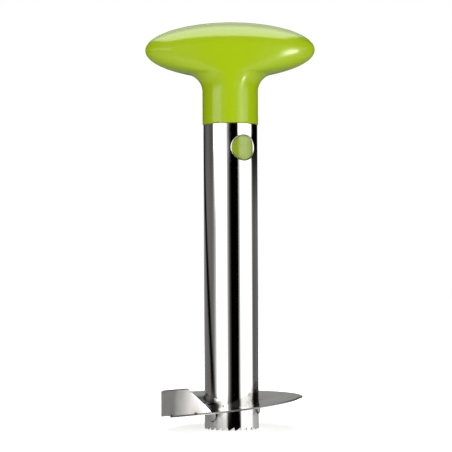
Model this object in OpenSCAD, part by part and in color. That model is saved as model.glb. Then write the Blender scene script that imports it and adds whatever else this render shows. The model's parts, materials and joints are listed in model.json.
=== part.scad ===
// Pineapple corer: a toothed steel tube with a one-turn helical blade, and a T-handle that plugs into
// the tube and is held by two push buttons. The origin is on the tube's axis at the tips of the teeth,
// +Z runs up to the handle, the handle's bar lies along X and the front of the tool faces -Y.
// Compass angles are in degrees, counter-clockwise seen from above, with 270 at the front.

/* [Core tube] */
// Outside diameter of the tube
tube_od = 32.5; // [28:0.1:38]
// Wall of the tube
tube_wall = 0.8; // [0.5:0.1:1.2]
// Length of the tube from the tips of the teeth to the upper rim
tube_l = 182; // [150:1:220]
// Number of saw teeth round the lower rim
tooth_count = 26; // [20:1:32]
// Depth of the teeth
tooth_depth = 1.9; // [1:0.1:3]
// Flat left at the tip of each tooth, on which the tool stands
tooth_land = 0.6; // [0.3:0.05:0.9]
// Width of the steep cutting flank of a tooth
tooth_flank = 0.5; // [0.2:0.1:1]

/* [Buttons and plug] */
// Diameter of a push button
button_d = 15.4; // [12:0.1:17]
// Gap between a button and the rim of its hole in the tube
button_gap = 0.3; // [0.2:0.05:0.5]
// Distance from the tube's rim down to the middle of a button
button_drop = 14.4; // [12:0.1:20]
// Turn of the buttons away from the front of the bar, to the right
latch_turn = 30; // [0:1:90]
// Width of the plug that a tongue leaves beyond its button
tongue_rim = 1.8; // [1:0.1:2.5]
// Width of a tongue's stem
stem_w = 12; // [8:0.5:14]
// Width of the U slot round a tongue
slot_w = 0.9; // [0.5:0.1:1.5]
// Length of a tongue from its root to the middle of its button
tongue_l = 21.6; // [16:0.1:24]
// Depth of the plug in the tube
plug_l = 42; // [36:1:60]
// Gap between the plug and the tube
plug_gap = 0.2; // [0.1:0.05:0.3]
// Wall of the plug
plug_wall = 2.4; // [1.6:0.1:3]

/* [Handle] */
// Length of the bar
bar_l = 102.4; // [90:0.1:120]
// Height of the bar
bar_h = 33.4; // [28:0.1:40]
// Depth of the bar from front to rear
bar_d = 34.4; // [30:0.1:40]
// Height of the bar's middle above the tube's rim
bar_rise = 45.5; // [40:0.1:60]
// Amount that the neck stands out over the tube all round
neck_lip = 0.45; // [0.2:0.05:1]
// Radius of the fillet between the neck and the bar
neck_fillet = 11; // [6:0.5:14]
// Wall of the two shells
shell_wall = 2.4; // [1.8:0.1:3]
// Gap between the handle's lower edge and the tube's rim
rim_gap = 0.2; // [0.1:0.05:0.3]
// Parting gap between the two shells
seam_gap = 0.1; // [0.05:0.05:0.2]
// Gap between the plug and the shells that hold it
seat_gap = 0.1; // [0.05:0.05:0.2]
// Depth of the ring groove that locks the plug in the shells
groove_depth = 1.8; // [1:0.1:2.5]
// Height of the ring rib in that groove
rib_h = 2.6; // [2:0.1:4]
// Height of the rib above the handle's lower edge
rib_rise = 9; // [6:0.5:12]
// Depth of the key plate from front to rear
key_d = 21; // [16:0.5:24]
// Thickness of the key plate
key_t = 4; // [3:0.5:6]
// Gap between the ends of the key plate and the shells
key_gap = 0.3; // [0.2:0.05:0.5]

/* [Slicing blade] */
// Diameter of the blade
blade_d = 85.2; // [76:0.1:96]
// Thickness of the blade
blade_t = 0.9; // [0.7:0.1:1.2]
// Height of the level part of the blade above the tips of the teeth
blade_z = 19.5; // [16:0.1:30]
// Compass angle of the leading edge
lead_angle = 211; // [180:1:240]
// Drop of the leading edge below the level part, at the rim
lead_drop = 10.3; // [8:0.1:12]
// Angle over which the rim climbs from the leading edge
ramp_span = 132; // [120:1:200]
// Drop of the leading edge below the level part, at the tube
hub_drop = 8.2; // [7:0.1:10]
// Angle over which the blade climbs along the tube
hub_span = 237; // [180:1:280]
// Angle from the leading edge to the trailing edge, which laps over it
blade_span = 375; // [360:1:376]
// Dip of the trailing edge below the level part
trail_drop = 3.7; // [0:0.1:4]
// Angle over which the blade dips to its trailing edge
trail_span = 100; // [60:1:120]
// Width of the ground bevel on the rim
bevel_w = 0.8; // [0.6:0.1:2]
// Thickness left at a sharpened edge
edge_t = 0.2; // [0.15:0.05:0.4]
// Gap between the blade and the tube
hub_gap = 0.12; // [0.08:0.02:0.2]
// Extra gap at the tube towards the trailing edge, where the blade was sheared and bent
relief_gap = 0.5; // [0.2:0.1:2]
// Angle of the blade that has this extra gap
relief_span = 80; // [30:1:100]

/* [Blade tabs] */
// Number of tabs bent down on the tube
tab_count = 3; // [2:1:3]
// Angle from the leading edge to the middle of the first tab
tab_first = 14; // [13:1:30]
// Width of a tab
tab_w = 7; // [5:0.5:7]
// Length of a tab below the blade
tab_l = 5.6; // [4:0.1:6]
// Radius of a weld bead on a tab
bead_r = 1.2; // [0.8:0.1:1.6]

/* [Side blade] */
// Height of the side blade
side_h = 15.4; // [10:0.1:20]
// Thickness of the side blade
side_t = 0.8; // [0.6:0.1:1.2]
// Distance of the side blade in from the rim of the disc
side_inset = 0.3; // [0.1:0.1:1]
// Gap between the side blade's foot and the disc
side_gap = 0.15; // [0.1:0.05:0.2]
// Angle of the side blade behind the leading edge of the disc
side_back = 43; // [30:1:60]
// Angle of the side blade ahead of the leading edge of the disc
side_ahead = 38; // [20:1:50]
// Angle covered by the slanted tail
tail_span = 21.5; // [12:0.5:28]
// Drop of the side blade's forward end below the leading edge
side_dip = 2.85; // [0:0.05:4]
// Gap between the side blade and the end of the disc, which laps inside it
lap_gap = 0.4; // [0.3:0.05:1]
// Radius of a tack weld
tack_r = 1.3; // [0.8:0.1:1.6]
// Angle from the leading edge back to the first tack weld
tack_first = 3; // [2:1:10]
// Angle between the two tack welds
tack_step = 27; // [15:1:30]

/* [Hidden] */
$fn = 120;

lime = [0.60, 0.82, 0.05];
steel = [0.78, 0.78, 0.77];
weld_steel = [0.45, 0.44, 0.43];

// Overlap of a cutting solid past the face that it cuts
past = 1;

// Tube
tube_r = tube_od / 2;
bore_r = tube_r - tube_wall;
front_angle = 270;
latch_angle = front_angle + latch_turn;
button_z = tube_l - button_drop;
tooth_pitch = 2 * PI * tube_r / tooth_count;

// Plug and tongues
plug_r = bore_r - plug_gap;
plug_in_r = plug_r - plug_wall;
plug_z = tube_l - plug_l;
plug_chamfer = plug_wall / 2;
head_r = button_d / 2 + tongue_rim;
root_z = button_z - tongue_l;
root_gap = 0.3;

// Handle: half sizes of the bar, and the heights of the parts that lock it on the plug
neck_r = tube_r + neck_lip;
neck_in_r = neck_r - shell_wall;
collar_z = tube_l + rim_gap;
collar_round = 0.5;
bar_z = tube_l + bar_rise;
half_l = bar_l / 2;
half_h = bar_h / 2;
half_d = bar_d / 2;
rib_z = collar_z + rib_rise;
plug_neck_r = neck_in_r - seat_gap;
groove_r = plug_neck_r - groove_depth;
rib_r = groove_r + seat_gap;
key_z = bar_z - key_t;

// Steps of the lofted shells: round a half section, and along the fillet and each quarter of the bar
round_steps = 40;
bar_steps = [8, 10];

// Blades: an angle of travel along the blade counts from its leading edge
blade_r = blade_d / 2;
hub_r = tube_r + hub_gap;
ramp_power = 1.15;
trail_power = 1.5;
bevel_angle = 2.4;
blade_steps = 125;
tab_half = tab_w / hub_r * 90 / PI;
tab_steps = 12;
// Distance of a tab's inner face outside the blade's inner edge
tab_set = 0.05;
// Share of a tab's half width at which its round end stops
tab_share = 0.98;
tab_spacing = 360 / tab_count;
side_r = blade_r - side_inset;
side_knee = side_back - tail_span;
side_fall = side_dip / side_ahead;
side_steps = 10;
tail_steps = 8;
// The disc is trimmed to the lap's radius over a few degrees, just before the side blade's forward end
lap_r = side_r - side_t - lap_gap;
lap_run = 4;
lap_start = 360 - side_ahead - 2 * lap_run;

// Height of the top of the blade at an angle of travel, at the rim and at the tube
function trail_dip(travel) =
    trail_drop * pow(max(0, 1 - (blade_span - travel) / trail_span), trail_power);
function rim_top(travel) =
    blade_z - lead_drop * pow(max(0, 1 - travel / ramp_span), ramp_power) - trail_dip(travel);
function hub_top(travel) =
    blade_z - hub_drop * max(0, 1 - travel / hub_span) - trail_dip(travel);

// Thickness of the blade: it is ground thin at the leading edge
function blade_thickness(travel) =
    min(blade_t, edge_t + (blade_t - edge_t) * travel / bevel_angle);

// Inner radius of the blade: it leaves the tube towards the trailing edge
function blade_inner(travel) =
    let (share = (travel - blade_span + relief_span) / relief_span)
    hub_r + relief_gap * sqrt(max(0, share));

// Outer radius of the blade: its end laps inside the side blade
function blade_outer(travel) =
    blade_r - (blade_r - lap_r) * min(1, max(0, (travel - lap_start) / lap_run));

// A point at a radius, a compass angle and a height
function polar(r, angle, z) = [r * cos(angle), r * sin(angle), z];

// A smooth rise from 0 to 1
function ease(s) = let (t = min(1, max(0, s))) t * t * (3 - 2 * t);

// Fillet between a neck of radius neck and an ellipse of half sizes a and e: the ellipse's parameter,
// measured down from its widest point, at which a circle of radius f touches both
function reach(t, a, e, f) = a * cos(t) + f * (cos(t) / a) / norm([cos(t) / a, sin(t) / e]);
function touch(neck, a, e, f, low = 0, high = 90, tries = 40) =
    let (t = (low + high) / 2)
    tries == 0 ? t :
    reach(t, a, e, f) > neck + f ? touch(neck, a, e, f, t, high, tries - 1) :
    touch(neck, a, e, f, low, t, tries - 1);

// Levels of the handle, from the start of the fillet to the last one below the top. Each level is a
// height and the half width and half depth of the oval section there.
function levels(neck, a, e, d, f, steps) =
    let (
        t = touch(neck, a, e, f),
        slope = norm([cos(t) / a, sin(t) / e]),
        centre_z = bar_z - e * sin(t) - f * (sin(t) / e) / slope,
        end = atan2(sin(t) / e, -cos(t) / a),
        depth = function(z) neck + (d - neck) * ease((z - centre_z) / (bar_z - centre_z))
    )
    concat(
        [for (i = [0:steps[0] - 1])
            let (
                angle = 180 + (end - 180) * i / steps[0],
                z = centre_z + f * sin(angle)
            )
            [z, neck + f + f * cos(angle), depth(z)]],
        [for (i = [0:steps[1] - 1])
            let (
                angle = t * (1 - i / steps[1]),
                z = bar_z - e * sin(angle)
            )
            [z, a * cos(angle), depth(z)]],
        [for (i = [0:steps[1] - 1])
            let (angle = 90 * i / steps[1])
            [bar_z + e * sin(angle), a * cos(angle), d * cos(angle)]]
    );

// Both lists have as many levels above the rib, and those below it pair up by the rib's two faces
outer_levels = concat(
    [
        [collar_z, neck_r - collar_round, neck_r - collar_round],
        [collar_z + collar_round, neck_r, neck_r],
        [rib_z, neck_r, neck_r],
        [rib_z + rib_h, neck_r, neck_r]
    ],
    levels(neck_r, half_l, half_h, half_d, neck_fillet, bar_steps)
);
inner_levels = concat(
    [
        [collar_z, neck_in_r, neck_in_r],
        [rib_z, neck_in_r, neck_in_r],
        [rib_z, rib_r, rib_r],
        [rib_z + rib_h, rib_r, rib_r],
        [rib_z + rib_h, neck_in_r, neck_in_r]
    ],
    levels(
        neck_in_r, half_l - shell_wall, half_h - shell_wall, half_d - shell_wall,
        neck_fillet + shell_wall, bar_steps
    )
);

// Half length of the key plate: where the hollow bar is as deep as the plate and its gap
key_half = (half_l - shell_wall) * sqrt(1 - pow((bar_z - key_z) / (half_h - shell_wall), 2))
    * sqrt(1 - pow((key_d / 2 + key_gap) / (half_d - shell_wall), 2)) - key_gap;

// Half of the handle on the front side of the XZ plane. Each list of levels runs upwards and closes at
// a pole above its last level. The parting face is made of convex pieces on each side: the neck below
// the rib, the neck at the rib, the rib, one for each pair of levels above, and one between the poles.
module half_shell(outer, outer_top, inner, inner_top) {
    n = round_steps;
    row = n + 1;
    outer_pole = len(outer) * row;
    first = outer_pole + 1;
    inner_pole = first + len(inner) * row;
    ring = function(level) [
        for (j = [0:n])
            let (angle = 180 + 180 * j / n)
            [level[1] * cos(angle), level[2] * sin(angle), level[0]]
    ];
    points = concat(
        [for (level = outer) each ring(level)], [[0, 0, outer_top]],
        [for (level = inner) each ring(level)], [[0, 0, inner_top]]
    );
    o = function(i, j) i * row + j;
    k = function(i, j) first + i * row + j;
    last_o = len(outer) - 1;
    last_k = len(inner) - 1;
    parting = function(j) concat(
        [[o(0, j), o(1, j), o(2, j), k(1, j), k(0, j)]],
        [[k(1, j), o(2, j), o(3, j), k(4, j)]],
        [[k(2, j), k(1, j), k(4, j), k(3, j)]],
        [for (i = [3:last_o - 1]) [o(i, j), o(i + 1, j), k(i + 2, j), k(i + 1, j)]],
        [[o(last_o, j), outer_pole, inner_pole, k(last_k, j)]]
    );
    flipped = function(face) [for (i = [len(face) - 1:-1:0]) face[i]];
    faces = concat(
        [for (i = [0:last_o - 1], j = [0:n - 1]) each
            [[o(i, j), o(i + 1, j), o(i + 1, j + 1)], [o(i, j), o(i + 1, j + 1), o(i, j + 1)]]],
        [for (j = [0:n - 1]) [o(last_o, j), outer_pole, o(last_o, j + 1)]],
        [for (i = [0:last_k - 1], j = [0:n - 1]) each
            [[k(i, j), k(i + 1, j + 1), k(i + 1, j)], [k(i, j), k(i, j + 1), k(i + 1, j + 1)]]],
        [for (j = [0:n - 1]) [k(last_k, j), k(last_k, j + 1), inner_pole]],
        [for (j = [0:n - 1]) each
            [[o(0, j), o(0, j + 1), k(0, j + 1)], [o(0, j), k(0, j + 1), k(0, j)]]],
        [for (face = parting(0)) flipped(face)],
        parting(n)
    );
    polyhedron(points, faces);
}

// A solid through a list of sections, each a ring of as many points, flat at both ends
module loft(sections) {
    n = len(sections[0]);
    m = len(sections);
    at = function(i, j) i * n + j % n;
    polyhedron(
        [for (section = sections) each section],
        concat(
            [[for (j = [n - 1:-1:0]) j]],
            [for (i = [0:m - 2], j = [0:n - 1]) each
                [[at(i, j), at(i + 1, j + 1), at(i + 1, j)],
                 [at(i, j), at(i, j + 1), at(i + 1, j + 1)]]],
            [[for (j = [0:n - 1]) at(m - 1, j)]]
        )
    );
}

// A prism along +X of a flat shape drawn in Y and Z
module along_x(length) {
    rotate([90, 0, 90]) linear_extrude(length) children();
}

// Outline of a tongue: a round head about the button and a stem down to the root
module tongue_outline(margin, foot) {
    translate([0, button_z]) circle(head_r + margin);
    translate([-stem_w / 2 - margin, foot]) square([stem_w + 2 * margin, button_z - foot]);
}

// The half shell at the front, moved off the parting plane by half of the gap
module shell() {
    translate([0, -seam_gap / 2, 0])
        half_shell(outer_levels, bar_z + half_h, inner_levels, bar_z + half_h - shell_wall);
}

module handle_front_shell() {
    color(lime) shell();
}

module handle_rear_shell() {
    color(lime) rotate(180) shell();
}

// The plug: a cup in the tube with a shoulder under the shells, and above it a neck with a groove for
// their rib and a key plate, cored out from the top
module plug() {
    core_r = min(groove_r, key_d / 2) - plug_wall;
    color(lime) difference() {
        union() {
            rotate_extrude() polygon([
                [0, plug_z], [plug_r - plug_chamfer, plug_z], [plug_r, plug_z + plug_chamfer],
                [plug_r, collar_z], [plug_neck_r, collar_z],
                [plug_neck_r, rib_z - seat_gap], [groove_r, rib_z - seat_gap],
                [groove_r, rib_z + rib_h + seat_gap], [plug_neck_r, rib_z + rib_h + seat_gap],
                [plug_neck_r, key_z], [0, key_z]
            ]);
            intersection() {
                translate([0, 0, key_z - past])
                    cylinder(r = norm([key_half, key_d / 2]), h = key_t + past);
                translate([-key_half, -key_d / 2, key_z - past])
                    cube([2 * key_half, key_d, key_t + past]);
            }
        }
        translate([0, 0, plug_z - past])
            cylinder(r = plug_in_r, h = collar_z - plug_wall - plug_z + past);
        translate([0, 0, collar_z]) cylinder(r = core_r, h = bar_z - collar_z + past);
        for (turn = [0, 180])
            rotate(latch_angle + turn) along_x(plug_r + past) tongue_outline(slot_w, root_z);
    }
}

// A button on its tongue, which is a piece of the plug's own wall
module button() {
    rotate(latch_angle) difference() {
        union() {
            intersection() {
                cylinder(r = plug_r, h = collar_z);
                along_x(plug_r + past) tongue_outline(0, root_z + root_gap);
            }
            intersection() {
                cylinder(r = tube_r, h = collar_z);
                translate([0, 0, button_z]) rotate([0, 90, 0]) cylinder(d = button_d, h = tube_r + past);
            }
        }
        cylinder(r = plug_in_r, h = collar_z);
    }
}

module front_button() {
    color(lime) button();
}

module rear_button() {
    color(lime) rotate(180) button();
}

// Gap between two saw teeth, drawn across the rim: the cutting flank faces clockwise seen from above
module tooth_gap() {
    along_x(tube_r + past) polygon([
        [tooth_land, -past], [tooth_land, 0], [tooth_pitch - tooth_flank, tooth_depth],
        [tooth_pitch, 0], [tooth_pitch, -past]
    ]);
}

module core_tube() {
    hole_r = button_d / 2 + button_gap;
    color(steel) difference() {
        cylinder(r = tube_r, h = tube_l);
        translate([0, 0, -past]) cylinder(r = bore_r, h = tube_l + 2 * past);
        translate([0, 0, button_z]) rotate([0, 90, latch_angle])
            cylinder(r = hole_r, h = tube_od + 2 * past, center = true);
        for (i = [0:tooth_count - 1]) rotate(i * 360 / tooth_count) tooth_gap();
    }
}

// Section of the blade at an angle of travel, straight from the tube to its ground rim
function blade_section(travel) =
    let (
        hub = hub_top(travel),
        rim = rim_top(travel),
        thickness = blade_thickness(travel),
        angle = lead_angle + travel,
        inner = blade_inner(travel),
        outer = blade_outer(travel),
        bevel_top = rim + (hub - rim) * bevel_w / (outer - inner)
    )
    [
        polar(inner, angle, hub - thickness), polar(outer, angle, rim - thickness),
        polar(outer, angle, rim - thickness + edge_t * thickness / blade_t),
        polar(outer - bevel_w, angle, bevel_top), polar(inner, angle, hub)
    ];

// Section of a tab, which runs from inside the blade down to a round end
function tab_section(middle, share) =
    let (
        travel = middle + share * tab_half,
        high = hub_top(travel) - blade_thickness(travel) / 2,
        low = hub_top(middle) - blade_t - tab_l + tab_w / 2 * (1 - sqrt(1 - share * share)),
        angle = lead_angle + travel
    )
    [
        polar(hub_r + tab_set, angle, low), polar(hub_r + tab_set + blade_t, angle, low),
        polar(hub_r + tab_set + blade_t, angle, high), polar(hub_r + tab_set, angle, high)
    ];

function tab_middle(i) = tab_first + i * tab_spacing;

module slicing_blade() {
    color(steel) union() {
        loft([for (s = [0:blade_steps]) blade_section(blade_span * s / blade_steps)]);
        for (i = [0:tab_count - 1])
            loft([
                for (s = [0:tab_steps])
                    tab_section(tab_middle(i), tab_share * (2 * s / tab_steps - 1))
            ]);
    }
}

// Height of the side blade's foot at an angle of travel, which is negative ahead of the leading edge
function side_foot(travel) =
    side_gap + (travel < 0 ? rim_top(0) + side_fall * travel : rim_top(travel));

// Height of the side blade's upper edge: level with the foot, then slanted down to it over the tail
function side_head(travel) =
    let (
        fall = (travel - side_knee) / tail_span,
        top = rim_top(0) + side_gap + side_h + side_fall * travel
    )
    travel < side_knee ? top : top + (side_foot(side_back) + edge_t - top) * fall;

// Section of the side blade at an angle of travel
function side_section(travel) =
    let (
        angle = lead_angle + travel,
        low = side_foot(travel),
        high = side_head(travel)
    )
    [
        polar(side_r - side_t, angle, low), polar(side_r, angle, low),
        polar(side_r, angle, high), polar(side_r - side_t, angle, high)
    ];

module side_blade() {
    run = side_knee + side_ahead;
    color(steel) loft(concat(
        [for (s = [0:side_steps - 1]) side_section(-side_ahead + run * s / side_steps)],
        [for (s = [0:tail_steps]) side_section(side_knee + tail_span * s / tail_steps)]
    ));
}

// Half of a weld bead: the half of a sphere below a level, or above it
module half_bead(r, side) {
    intersection() {
        sphere(r);
        translate([-2 * r, -2 * r, side < 0 ? -2 * r : 0]) cube([4 * r, 4 * r, 2 * r]);
    }
}

// Beads under the lower ends of the tabs, on the tube
module blade_welds() {
    color(weld_steel) difference() {
        for (i = [0:tab_count - 1])
            let (middle = tab_middle(i))
            translate(polar(hub_r, lead_angle + middle, hub_top(middle) - blade_t - tab_l))
                half_bead(bead_r, -1);
        cylinder(r = tube_r, h = tube_l);
    }
}

// Tack welds outside the foot of the side blade, on the disc
module side_blade_welds() {
    tack_angle = tack_r / side_r * 180 / PI;
    tack_out = tack_r / 4;
    color(weld_steel) difference() {
        for (i = [0:1])
            let (travel = tack_first + i * tack_step)
            translate(polar(side_r + tack_out, lead_angle + travel, rim_top(travel + tack_angle)))
                half_bead(tack_r, 1);
        cylinder(r = side_r, h = blade_z);
    }
}

handle_front_shell();
handle_rear_shell();
plug();
front_button();
rear_button();
core_tube();
slicing_blade();
side_blade();
blade_welds();
side_blade_welds();
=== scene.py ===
"""Shown surfaces, finishes, light and camera of a pineapple corer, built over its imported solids."""

import json
import math

import bmesh
import bpy
from bpy.props import FloatProperty, FloatVectorProperty, IntProperty, PointerProperty
from mathutils import Matrix, Vector, noise


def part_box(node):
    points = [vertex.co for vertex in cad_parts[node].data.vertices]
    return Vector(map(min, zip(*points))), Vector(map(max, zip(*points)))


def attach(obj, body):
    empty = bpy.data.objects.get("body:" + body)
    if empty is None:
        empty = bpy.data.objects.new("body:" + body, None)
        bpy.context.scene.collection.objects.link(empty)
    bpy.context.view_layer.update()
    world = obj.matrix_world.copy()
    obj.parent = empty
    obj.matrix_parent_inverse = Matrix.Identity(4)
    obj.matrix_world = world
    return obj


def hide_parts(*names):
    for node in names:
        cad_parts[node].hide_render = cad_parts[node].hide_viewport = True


bl_info = {
    "name": "Pineapple corer",
    "version": (1, 0, 0),
    "blender": (4, 5, 0),
    "location": "3D View > Sidebar > Corer",
    "description": "Builds the shown surfaces of a pineapple corer over its solids, with a small studio",
    "category": "Object",
}

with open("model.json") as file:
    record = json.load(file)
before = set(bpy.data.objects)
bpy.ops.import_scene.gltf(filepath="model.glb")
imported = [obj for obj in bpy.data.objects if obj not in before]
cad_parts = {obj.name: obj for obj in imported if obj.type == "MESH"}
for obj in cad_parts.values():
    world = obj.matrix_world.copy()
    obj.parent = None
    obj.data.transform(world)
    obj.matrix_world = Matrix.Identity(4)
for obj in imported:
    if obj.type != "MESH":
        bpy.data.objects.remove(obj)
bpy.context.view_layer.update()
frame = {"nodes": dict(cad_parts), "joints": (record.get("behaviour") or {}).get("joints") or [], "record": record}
MM = 0.001

# The photograph's frame, in pixels, and the width of the camera's sensor, in millimetres
IMAGE_SIDE = 452
SENSOR = 36.0


def reach(node, low=-math.inf, high=math.inf):
    """The greatest distance of a solid from the tube's axis, between two heights."""
    points = [v.co for v in frame["nodes"][node].data.vertices]
    return max(math.hypot(p.x, p.y) for p in points if low <= p.z <= high)


def named(rows, name):
    """The joint or mount of a name."""
    return next(row for row in rows if row["name"] == name)


SHELL_LOW, SHELL_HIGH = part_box("handle_front_shell")
TUBE_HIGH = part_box("core_tube")[1]
BLADE_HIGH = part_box("slicing_blade")[1]
BUTTON_LOW, BUTTON_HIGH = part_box("front_button")
GRIP = Vector(named(frame["record"]["mounts"], "hand_grip")["pos_m"])
ROOT = Vector(named(frame["joints"], "front_button_press")["pos_m"])
# Compass angle of the front button, and the height of a button's middle above the tips of the teeth
FACING = math.atan2(ROOT.y, ROOT.x)
BUTTON_MIDDLE = 167.6 * MM
# A number that is as good as nothing
HAIR = 1e-6


def srgb(text):
    """The linear RGBA value of an sRGB hex colour."""
    channels = [int(text[i:i + 2], 16) / 255 for i in (1, 3, 5)]
    linear = [c / 12.92 if c <= 0.04045 else ((c + 0.055) / 1.055) ** 2.4 for c in channels]
    return (*linear, 1.0)


# Settings


def metres(name, description, default):
    """A setting of a length."""
    return FloatProperty(name=name, description=description, default=default, unit="LENGTH")


def millimetres(name, description, default):
    """A setting of a length that is given in millimetres."""
    return metres(name, description, default * MM)


def degrees(name, description, default):
    """A setting of an angle that is given in degrees."""
    return FloatProperty(
        name=name, description=description, default=math.radians(default), subtype="ANGLE")


def hex_colour(name, description, default):
    """A setting of a colour that is given as sRGB hex."""
    return FloatVectorProperty(
        name=name, description=description, default=srgb(default), subtype="COLOR", size=4, min=0.0, max=1.0)


class HandleSettings(bpy.types.PropertyGroup):
    """Sizes and colour of the two halves of the handle."""

    half_length: metres("Half length", "From the tube's axis to the tip of a wing", SHELL_HIGH.x)
    half_height: metres("Half height", "From the middle of the bar to its top", SHELL_HIGH.z - GRIP.z)
    half_depth: metres("Half depth", "From the parting plane to the front of the bar", -SHELL_LOW.y)
    neck_radius: metres(
        "Neck radius", "Radius of the neck just above the tube",
        reach("handle_front_shell", SHELL_LOW.z, SHELL_LOW.z + 5 * MM))
    neck_fillet: millimetres("Neck fillet", "Radius of the fillet between the neck and the bar", 11)
    wall: millimetres("Wall", "Wall of the moulding", 2.4)
    seam_gap: millimetres("Seam gap", "Gap between the two halves", 0.1)
    edge_round: millimetres("Edge round", "Round on the parting edges", 0.3)
    collar_round: millimetres("Collar round", "Round on the lower edge", 0.5)
    colour: hex_colour("Colour", "Colour of the plastic", "#ABC712")


class LatchSettings(bpy.types.PropertyGroup):
    """Sizes of the buttons and of the spring tongues that carry them."""

    button_radius: millimetres("Button radius", "Radius of a push button", 7.1)
    button_round: millimetres("Button round", "Round on a button's edge", 0.3)
    button_height: metres(
        "Button height", "Height of a button's middle above the tips of the teeth", BUTTON_MIDDLE)
    head_radius: metres("Head radius", "Radius of the tongue round its button", BUTTON_HIGH.z - BUTTON_MIDDLE)
    stem_width: millimetres("Stem width", "Width of a tongue's stem", 12)
    outer_radius: millimetres("Outer radius", "Radius of the tongue's outer face", 15.25)
    thickness: millimetres("Thickness", "Thickness of a tongue", 2.4)


class TubeSettings(bpy.types.PropertyGroup):
    """Sizes of the toothed tube."""

    radius: metres("Radius", "Outside radius", reach("core_tube"))
    wall: millimetres("Wall", "Wall of the tube", 0.8)
    tooth_count: IntProperty(name="Teeth", description="Number of saw teeth", default=26, min=3)
    tooth_depth: millimetres("Tooth depth", "Depth of the teeth", 1.9)
    tooth_land: millimetres("Tooth land", "Flat at the tip of a tooth", 0.6)
    tooth_flank: millimetres("Tooth flank", "Width of the steep flank", 0.5)
    hole_radius: millimetres("Hole radius", "Radius of a button hole", 8.0)
    edge_break: millimetres("Edge break", "Bright chamfer on the cut edges", 0.15)
    hole_break: millimetres("Hole break", "Width of the chamfer inside the edge of a button hole", 0.65)
    hole_slope: degrees("Hole slope", "Angle of that chamfer to the tube's face", 30)


class BladeSettings(bpy.types.PropertyGroup):
    """Sizes of the helical slicing blade."""

    radius: metres("Radius", "Outside radius", reach("slicing_blade"))
    thickness: millimetres("Thickness", "Thickness of the sheet", 0.9)
    level: metres("Level", "Height of the level part", BLADE_HIGH.z)
    lead_angle: degrees("Lead angle", "Compass angle of the leading edge", 211)
    lead_drop: millimetres("Lead drop", "Drop of the leading edge below the level part, at the rim", 10.3)
    ramp_span: degrees("Ramp span", "Angle over which the rim climbs", 132)
    hub_drop: millimetres("Hub drop", "Drop of the leading edge below the level part, at the tube", 8.2)
    hub_span: degrees("Hub span", "Angle over which the blade climbs along the tube", 237)
    blade_span: degrees("Blade span", "Angle from the leading to the trailing edge, which laps over it", 375)
    trail_drop: millimetres("Trail drop", "Dip of the trailing edge below the level part", 3.7)
    trail_span: degrees("Trail span", "Angle over which the blade dips to its trailing edge", 100)
    bevel_width: millimetres("Bevel width", "Width of the ground rim", 0.8)
    edge_thickness: millimetres("Edge thickness", "Thickness left at a ground edge", 0.2)
    rim_land: millimetres("Rim land", "Height of the upright land under the ground rim", 0.4)
    hub_gap: millimetres("Hub gap", "Gap between the blade and the tube", 0.12)
    relief_gap: millimetres("Relief gap", "Extra gap at the tube by the trailing edge", 0.5)
    relief_span: degrees("Relief span", "Angle of the blade with that extra gap", 80)
    tab_count: IntProperty(name="Tabs", description="Number of tabs bent down on the tube", default=3, min=1)
    tab_first: degrees("First tab", "Angle from the leading edge to the first tab", 14)
    tab_width: millimetres("Tab width", "Width of a tab", 7)
    tab_length: millimetres("Tab length", "Length of a tab below the blade", 5.6)
    bead_radius: millimetres("Bead radius", "Half width of a weld bead", 1.2)


class SideBladeSettings(bpy.types.PropertyGroup):
    """Sizes of the upright side blade."""

    radius: metres("Radius", "Outside radius", reach("side_blade"))
    height: millimetres("Height", "Height of the strip", 15.4)
    thickness: millimetres("Thickness", "Thickness of the strip", 0.8)
    gap: millimetres("Gap", "Gap between its foot and the disc", 0.15)
    back: degrees("Back", "Angle behind the leading edge of the disc", 43)
    ahead: degrees("Ahead", "Angle ahead of the leading edge of the disc", 38)
    tail: degrees("Tail", "Angle of the slanted tail", 21.5)
    dip: millimetres("Dip", "Drop of the forward end below the leading edge", 2.85)
    lap_gap: millimetres(
        "Lap gap", "Gap between the strip and the end of the disc, which laps inside it", 0.4)
    bevel: millimetres("Bevel", "Width of the ground upper edge", 0.7)
    tack_radius: millimetres("Tack radius", "Half width of a tack weld", 1.3)
    tack_first: degrees("First tack", "Angle from the leading edge to the first tack", 3)
    tack_step: degrees("Tack step", "Angle between the tacks", 27)


class StudioSettings(bpy.types.PropertyGroup):
    """Camera and floor."""

    distance: metres("Distance", "From the camera to the tube's axis", 0.9345)
    eye: millimetres("Eye height", "Height of the camera", 94)
    focal_pixels: FloatProperty(
        name="Focal length", description="Focal length in pixels of the picture", default=1552.0)
    centre_x: FloatProperty(
        name="Axis column", description="Column of the picture that the tube's axis crosses", default=230.8)
    horizon: FloatProperty(
        name="Horizon row", description="Row of the picture at the camera's own height", default=271.3)
    roll: degrees("Roll", "Lean of the picture", 0.27)
    floor_colour: hex_colour("Floor", "Colour of the floor", "#F4F4F2")


# Mesh helpers


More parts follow.
